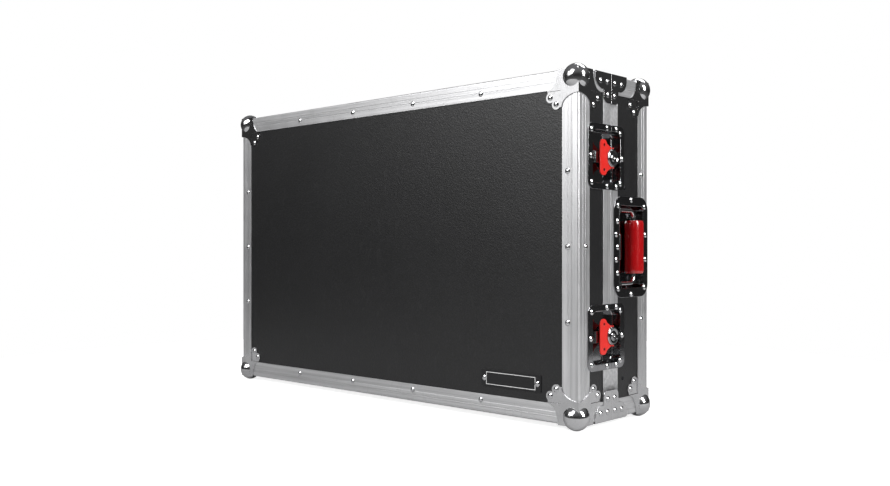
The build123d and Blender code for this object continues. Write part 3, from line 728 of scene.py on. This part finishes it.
def head_places(nodes):
    """Where the heads of some CAD nodes stand: the middle of each head's foot, and the way it points."""
    places = []
    for node in nodes:
        shape = welded(node)
        for members in islands(shape):
            low, high = span([v.co for v in members])
            size = high - low
            centre = (low + high) / 2
            thin = min(range(3), key=lambda axis: size[axis])
            sign = 1.0 if centre[thin] > MIDDLE[thin] else -1.0
            outward = Vector([sign if axis == thin else 0.0 for axis in range(3)])
            places.append((centre - outward * size[thin] / 2, outward))
        shape.free()
    return places


def rivet_head():
    """A domed rivet with a thin rim."""
    radius = sizes().rivet_radius
    height = sizes().rivet_height
    profile = [(0, 0), (radius, 0), (radius, height * 0.22), (radius * 0.90, height * 0.34),
               (radius * 0.66, height * 0.78), (radius * 0.34, height * 0.98), (0, height)]
    return lathe(profile, HEAD_STEPS)


def screw_head(radius, height):
    """A pan head with a recess sunk in it."""
    return lathe([(0, 0), (radius, 0), (radius, height * 0.5), (radius * 0.8, height * 0.88),
                  (radius * 0.45, height), (radius * 0.14, height), (0, height * 0.35)], HEAD_STEPS)


def shown_white(tree):
    """One for rays from the camera and through glass, and nothing for others."""
    rays = tree.nodes.new("ShaderNodeLightPath")
    return maths(tree, "MAXIMUM", rays.outputs["Is Camera Ray"], rays.outputs["Is Transmission Ray"])


class CASE_OT_stage(bpy.types.Operator):
    """Sets the camera, floor, lamps and world."""
    bl_idname = "case.stage"
    bl_label = "Stage"

    def execute(self, context):
        scene = context.scene
        scene.view_settings.view_transform = "Standard"
        data = bpy.data.cameras.new("camera")
        data.sensor_width = SENSOR_WIDTH
        data.lens = FOCAL_PIXELS / PHOTO_WIDTH * SENSOR_WIDTH
        data.shift_y = HORIZON_SHIFT
        camera = linked("camera", data)
        camera.location = (END_X + CAMERA_FROM_END, FRONT_Y - CAMERA_FROM_FRONT, MIDDLE.z)
        camera.rotation_euler = (pi / 2, 0, CAMERA_YAW)
        scene.camera = camera
        self.floor()
        self.world(scene)
        for name, settings in LAMPS.items():
            self.lamp(name, *settings)
        return {"FINISHED"}

    def floor(self):
        """A wide pale floor that the camera sees as white, with the case's shadow kept; metal shows it as lit."""
        shape = bmesh.new()
        bmesh.ops.create_circle(shape, cap_ends=True, segments=96, radius=FLOOR_RADIUS)
        mesh = flat_mesh(shape, "floor")
        floor = linked("floor", mesh)
        material, tree, shader, place = blank("Pale floor", 0.9, specular=0.1)
        link = tree.links.new
        shader.inputs["Base Color"].default_value = (FLOOR_GREY, FLOOR_GREY, FLOOR_GREY, 1)
        reach = add(tree, "ShaderNodeVectorMath", operation="LENGTH")
        fade = add(tree, "ShaderNodeMapRange", inputs={
            "From Min": FLOOR_RADIUS * GLOW_FROM, "From Max": FLOOR_RADIUS * GLOW_TO, "To Min": GLOW_NEAR})
        light = tree.nodes.new("ShaderNodeEmission")
        both = tree.nodes.new("ShaderNodeAddShader")
        mix = tree.nodes.new("ShaderNodeMixShader")
        link(place, reach.inputs[0])
        link(reach.outputs["Value"], fade.inputs["Value"])
        link(fade.outputs[0], light.inputs["Strength"])
        link(shown_white(tree), mix.inputs[0])
        link(shader.outputs[0], mix.inputs[1])
        link(shader.outputs[0], both.inputs[0])
        link(light.outputs[0], both.inputs[1])
        link(both.outputs[0], mix.inputs[2])
        link(mix.outputs[0], tree.nodes["Material Output"].inputs["Surface"])
        mesh.materials.append(material)

    def world(self, scene):
        """White to the camera and through glass, and a dim room to everything else."""
        world = bpy.data.worlds.new("studio")
        scene.world = world
        world.use_nodes = True
        tree = world.node_tree
        link = tree.links.new
        place = tree.nodes.new("ShaderNodeTexCoord")
        split = tree.nodes.new("ShaderNodeSeparateXYZ")
        ramp = tree.nodes.new("ShaderNodeValToRGB")
        stops = ramp.color_ramp.elements
        for index, tone in enumerate(ROOM_ENDS):
            stops[index].position, stops[index].color = index, (*tone, 1)
        for position, level in ROOM_TONES:
            stops.new(position).color = (level, level, level, 1)
        height = maths(tree, "ADD", maths(tree, "MULTIPLY", split.outputs["Z"], 0.5), 0.5)
        link(place.outputs["Generated"], split.inputs[0])
        link(height, ramp.inputs["Fac"])
        seen = tint(tree, shown_white(tree), ramp.outputs["Color"], (1, 1, 1))
        link(seen, tree.nodes["Background"].inputs["Color"])

    def lamp(self, name, place, aim, width, height, power):
        """A soft rectangular lamp that looks at a point."""
        data = bpy.data.lights.new(name, "AREA")
        data.shape = "RECTANGLE"
        data.size = width
        data.size_y = height
        data.energy = power
        lamp = linked(name, data)
        lamp.location = place
        lamp.rotation_euler = (Vector(aim) - Vector(place)).to_track_quat("-Z", "Y").to_euler()


class CASE_OT_panels(bpy.types.Operator):
    """Finishes the laminated panels and walls."""
    bl_idname = "case.panels"
    bl_label = "Panels and walls"

    def execute(self, context):
        nodes = [node for node, slot in SLOT_OF.items() if slot == "laminate"]
        dress_all(nodes, "laminate", PANEL_SOFTNESS)
        return {"FINISHED"}


class CASE_OT_extrusions(bpy.types.Operator):
    """Finishes the edge angles and the tongue and groove rails."""
    bl_idname = "case.extrusions"
    bl_label = "Angles and rails"

    def execute(self, context):
        nodes = [node for node, slot in SLOT_OF.items() if slot == "aluminium"]
        dress_all(nodes, "aluminium", sizes().extrusion_softness)
        return {"FINISHED"}


class CASE_OT_corners(bpy.types.Operator):
    """Finishes the ball corners and the braces at the parting line."""
    bl_idname = "case.corners"
    bl_label = "Ball corners and braces"

    def execute(self, context):
        for half in ("lid", "base"):
            dress(half + "_ball_corners", "chrome", sizes().edge_softness)
            dress(half + "_corner_braces", "chrome", sizes().edge_softness)
        return {"FINISHED"}


class CASE_OT_latches(bpy.types.Operator):
    """Finishes the latch dishes, bearing plates, keepers, hubs, wings and hooks."""
    bl_idname = "case.latches"
    bl_label = "Butterfly latches"

    def execute(self, context):
        soft = sizes().edge_softness
        dress_all(["lid_latch_dishes", "base_latch_dishes"], "dish", soft, sharp=radians(40))
        dress_all(["latch_bearing_plates", "latch_keepers"], "dish", soft)
        for node in SLOT_OF:
            if node.endswith("_latch_hub"):
                dress(node, "chrome", soft * 0.5)
                self.hub_face(node)
            elif node.endswith("_latch_hook"):
                dress(node, "chrome", soft)
            elif node.endswith("_latch_wing"):
                self.wing(node)
        self.strike_plates()
        return {"FINISHED"}

    def hub_face(self, node):
        """The turned face of a hub: a raised rim, a sunk ring and a riveted boss."""
        low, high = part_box(node)
        outward = 1 if high[0] > 0 else -1
        top = high[0] if outward > 0 else low[0]
        radius = sizes().hub_radius
        rise = HUB_FACE_RISE
        profile = [(0, 0), (radius, 0), (radius, rise * 0.5), (radius * 0.93, rise), (radius * 0.84, rise),
                   (radius * 0.76, rise * 0.25), (radius * 0.42, rise * 0.25), (radius * 0.38, rise * 0.8),
                   (radius * 0.30, rise), (radius * 0.16, rise), (radius * 0.12, rise * 0.5), (0, rise * 0.5)]
        mesh = lathe(profile, 40)
        turn = Matrix.Rotation(outward * pi / 2, 4, "Y")
        middle = ((low[1] + high[1]) / 2, (low[2] + high[2]) / 2)
        mesh.transform(Matrix.Translation((top - outward * HUB_FACE_SUNK, *middle)) @ turn)
        link_piece(node + "_face", mesh, finish("dish"), BODY_OF[node])

    def wing(self, node):
        """A pressed wing with rounded ends, corners cut towards the hub, and two holes."""
        low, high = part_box(node)
        hub_low, hub_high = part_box(node.replace("wing", "hub"))
        outward = 1 if high[0] > 0 else -1
        hub_y = (hub_low[1] + hub_high[1]) / 2
        middle = (low[2] + high[2]) / 2
        far = hub_y - low[1]
        tall = (high[2] - low[2]) / 2
        size = sizes()
        notch = size.notch_radius
        ear_out = size.ear_reach
        neck = notch * NECK_REACH
        half = [(far, 0.0)]
        half += arc(far - size.end_radius, tall - size.end_radius, size.end_radius, 0, 90, 8)
        half += arc(size.end_near + size.end_radius, tall - size.end_radius, size.end_radius, 90, 165, 7)
        half += [(size.lobe_out, size.lobe_high), (neck, ear_out), (neck, notch * NECK_TOP)]
        half += arc(0, 0, notch, 72, 8, 8)
        outline = half + [(notch, 0.0)] + [(d, -z) for d, z in reversed(half[1:])]
        holes = [arc(size.hole_in, sign * size.hole_high, size.hole_radius, 0, 342, 19) for sign in (-1, 1)]
        shape = cut_plate([outline] + holes, WING_SHEET, size.edge_softness)
        level = outward * (END_X - WING_LEVEL)
        for vertex in shape.verts:
            d, z, thick = vertex.co
            vertex.co = (level + outward * thick, hub_y - d, middle + z)
        bmesh.ops.recalc_face_normals(shape, faces=shape.faces)
        for sign in (-1, 1):
            ear_z = middle + sign * (ear_out - EAR_LENGTH / 2)
            bmesh.ops.create_cone(shape, cap_ends=True, segments=20, radius1=EAR_RADIUS, radius2=EAR_RADIUS,
                                  depth=EAR_LENGTH, matrix=Matrix.Translation((level, hub_y, ear_z)))
            arm = Matrix.Translation((level, hub_y - neck / 2, ear_z))
            reach = Matrix.Diagonal((WING_SHEET, neck + EAR_OVERLAP, EAR_LENGTH, 1.0))
            bmesh.ops.create_cube(shape, size=1.0, matrix=arm @ reach)
        plate = with_even_normals(smooth_mesh(shape, "plate"))
        link_piece(node + "_finished", plate, finish("red_paint"), BODY_OF[node], (node,))

    def strike_plates(self):
        """A ribbed plate on the lid's dish floor of each latch, behind its hook."""
        shape = bmesh.new()
        floor = END_X - sizes().dish_depth
        for sign, side in LATCH_QUARTERS:
            height = MIDDLE.z + side * sizes().latch_rise
            for half_y, half_z, rise, shift in STRIKE_BLOCKS:
                place = Matrix.Translation((sign * (floor + rise / 2), FRONT_Y + STRIKE_FROM_FRONT + shift, height))
                block = Matrix.Diagonal((rise, 2 * half_y, 2 * half_z, 1.0))
                bmesh.ops.create_cube(shape, size=1.0, matrix=place @ block)
        bmesh.ops.bevel(shape, geom=shape.edges[:], offset=STRIKE_SOFTNESS, segments=2, profile=0.5, affect="EDGES")
        note_length(shape)
        mesh = with_even_normals(smooth_mesh(shape, "strike_plates"))
        link_piece("strike_plates", mesh, finish("chrome"), "lid")


class CASE_OT_handles(bpy.types.Operator):
    """Finishes the handle dishes, bails, rods and barrels, and moulds the grips."""
    bl_idname = "case.handles"
    bl_label = "Recessed handles"

    def execute(self, context):
        soft = sizes().edge_softness
        for side in ("left", "right"):
            dress(side + "_handle_dish", "dish", soft, sharp=radians(40))
            dress(side + "_handle_bail", "chrome", soft * 0.5)
            self.grip(side + "_handle_grip")
        dress_all(["handle_pivot_rods", "handle_spring_barrels"], "chrome", soft)
        return {"FINISHED"}

    def grip(self, node):
        """A smooth oval moulding with rolled ends round the bail's bar."""
        low, high = (Vector(corner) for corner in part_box(node))
        centre = (low + high) / 2
        half = (high - low) / 2
        steps = 40
        squareness = 0.9
        outward = 1 if centre.x > 0 else -1
        swell = sizes().grip_swell
        centre.x += outward * swell / 2
        half.x += swell / 2
        stations = [(-1.0, 0.42), (-1.0, 0.86), (-0.992, 0.91), (-0.975, 0.935), (-0.94, 0.95), (-0.925, 0.975),
                    (-0.88, 0.995), (-0.7, 1.0), (-0.35, 0.99), (0.0, 0.985)]
        stations = stations + [(-along, scale) for along, scale in reversed(stations[:-1])]
        shape = bmesh.new()
        rings = []
        for along, scale in stations:
            ring = []
            for i in range(steps):
                angle = 2 * pi * i / steps
                across = abs(cos(angle)) ** squareness * (1 if cos(angle) >= 0 else -1)
                out = abs(sin(angle)) ** squareness * (1 if sin(angle) >= 0 else -1)
                ring.append(shape.verts.new((centre.x + half.x * scale * out, centre.y + half.y * scale * across,
                                             centre.z + half.z * along)))
            rings.append(ring)
        bridge(shape, rings, steps)
        for ring in (rings[0], rings[-1]):
            shape.faces.new(ring)
        bmesh.ops.recalc_face_normals(shape, faces=shape.faces)
        mesh = smooth_mesh(shape, node + "_moulded", 60)
        link_piece(node + "_finished", mesh, finish("red_grip"), BODY_OF[node], (node,))


class CASE_OT_rivets(bpy.types.Operator):
    """Sets a domed rivet on every rivet place, and screws in the feet and the ends."""
    bl_idname = "case.rivets"
    bl_label = "Rivets and screws"

    def execute(self, context):
        groups = {
            "lid": ["lid_rivets", "lid_latch_rivets", "nameplate_rivets"],
            "base": ["base_rivets", "base_latch_rivets", "handle_rivets"],
        }
        for body, nodes in groups.items():
            places = head_places(nodes) + (self.spring_rivets() if body == "base" else [])
            self.heads(body + "_rivet_heads", places, rivet_head(), "chrome", body, nodes)
        low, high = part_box("foot_screws")
        head = screw_head(FOOT_SCREW_RADIUS, high[1] - low[1])
        self.heads("foot_screw_heads", head_places(["foot_screws"]), head, "chrome", "base", ["foot_screws"])
        self.end_screws()
        self.strike_rivets()
        return {"FINISHED"}

    def heads(self, name, places, head, material, body, nodes=(), size=1.0):
        """A piece of heads at places, in a finish, on a body, hiding the nodes that it stands for."""
        mesh = scattered(name, places, head, finish(material), size)
        link_piece(name, mesh, finish(material), body, nodes)

    def spring_rivets(self):
        """Three rivets beside each handle's pocket, over the spring on the pivot rod."""
        places = []
        for side, sign in (("left", -1), ("right", 1)):
            low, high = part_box(side + "_handle_dish")
            reach = max(abs(low[0]), abs(high[0]))
            for step in (-1, 0, 1):
                rise = MIDDLE.z + step * SPRING_RIVET_STEP
                places.append((Vector((sign * reach, low[1] + SPRING_RIVET_INSET, rise)), Vector((sign, 0, 0))))
        return places

    def end_screws(self):
        """Small black screws through the end laminate of the base."""
        laminate_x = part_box("base_right_wall")[1][0]
        places = [(Vector((sign * laminate_x, FRONT_Y + from_front, height)), Vector((sign, 0, 0)))
                  for sign in (-1, 1) for from_front, height in END_SCREW_PLACES]
        self.heads("end_screws", places, screw_head(sizes().screw_radius, END_SCREW_HEIGHT), "screw", "base")

    def strike_rivets(self):
        """Two rivets through each strike plate."""
        top = END_X - sizes().dish_depth + STRIKE_BLOCKS[0][2]
        places = [(Vector((sign * top, FRONT_Y + STRIKE_FROM_FRONT,
                           MIDDLE.z + side * sizes().latch_rise + step * STRIKE_RIVET_RISE)), Vector((sign, 0, 0)))
                  for sign, side in LATCH_QUARTERS for step in (-1, 1)]
        self.heads("dish_rivets", places, rivet_head(), "chrome", "lid", size=STRIKE_RIVET_SIZE)


class CASE_OT_nameplate(bpy.types.Operator):
    """Finishes the bare nameplate and its plain white border."""
    bl_idname = "case.nameplate"
    bl_label = "Nameplate"

    def execute(self, context):
        dress("nameplate", "nameplate", PLATE_SOFTNESS)
        low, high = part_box("nameplate")
        inset = sizes().border_inset
        edge = sizes().border_edge
        width = sizes().border_width
        outer = (low[0] + inset, high[0] - inset, low[2] + edge, high[2] - edge)
        inner = (outer[0] + width, outer[1] - width, outer[2] + width, outer[3] - width)
        near, far = low[1] - BORDER_THICKNESS / 2, low[1] + BORDER_THICKNESS / 2
        shape = bmesh.new()
        rings = []
        for (x0, x1, z0, z1), y in ((outer, near), (outer, far), (inner, far), (inner, near)):
            rings.append([shape.verts.new((x, y, z)) for x, z in ((x0, z0), (x1, z0), (x1, z1), (x0, z1))])
        bridge(shape, rings + rings[:1], 4)
        bmesh.ops.recalc_face_normals(shape, faces=shape.faces)
        mesh = flat_mesh(shape, "nameplate_border")
        link_piece("nameplate_border", mesh, finish("line"), "lid")
        return {"FINISHED"}


class CASE_OT_linings(bpy.types.Operator):
    """Finishes the foam linings and the rubber feet."""
    bl_idname = "case.linings"
    bl_label = "Linings and feet"

    def execute(self, context):
        for half in ("lid", "base"):
            piece = dress(half + "_foam", "foam", sizes().foam_softness, segments=3)
        dress("rubber_feet", "rubber", RUBBER_SOFTNESS, segments=3)
        return {"FINISHED"}


class CASE_PT_panel(bpy.types.Panel):
    """Lists the steps and the settings."""
    bl_label = "Flight case"
    bl_space_type = "VIEW_3D"
    bl_region_type = "UI"
    bl_category = "Flight case"

    def draw(self, context):
        layout = self.layout
        for operator in OPERATORS:
            layout.operator(operator.bl_idname)
        for settings in (context.scene.case_sizes, context.scene.case_colours):
            for key in settings.__annotations__:
                layout.prop(settings, key)


OPERATORS = (CASE_OT_stage, CASE_OT_panels, CASE_OT_extrusions, CASE_OT_corners, CASE_OT_latches, CASE_OT_handles,
             CASE_OT_rivets, CASE_OT_nameplate, CASE_OT_linings)
CLASSES = (CaseSizes, CaseColours, *OPERATORS, CASE_PT_panel)


def register():
    for item in CLASSES:
        bpy.utils.register_class(item)
    bpy.types.Scene.case_sizes = bpy.props.PointerProperty(type=CaseSizes)
    bpy.types.Scene.case_colours = bpy.props.PointerProperty(type=CaseColours)


def unregister():
    del bpy.types.Scene.case_colours
    del bpy.types.Scene.case_sizes
    for item in reversed(CLASSES):
        bpy.utils.unregister_class(item)


def main():
    """Makes the whole case."""
    register()
    for operator in OPERATORS:
        group_name, _, step = operator.bl_idname.partition(".")
        getattr(getattr(bpy.ops, group_name), step)()


if __name__ == "__main__":
    main()
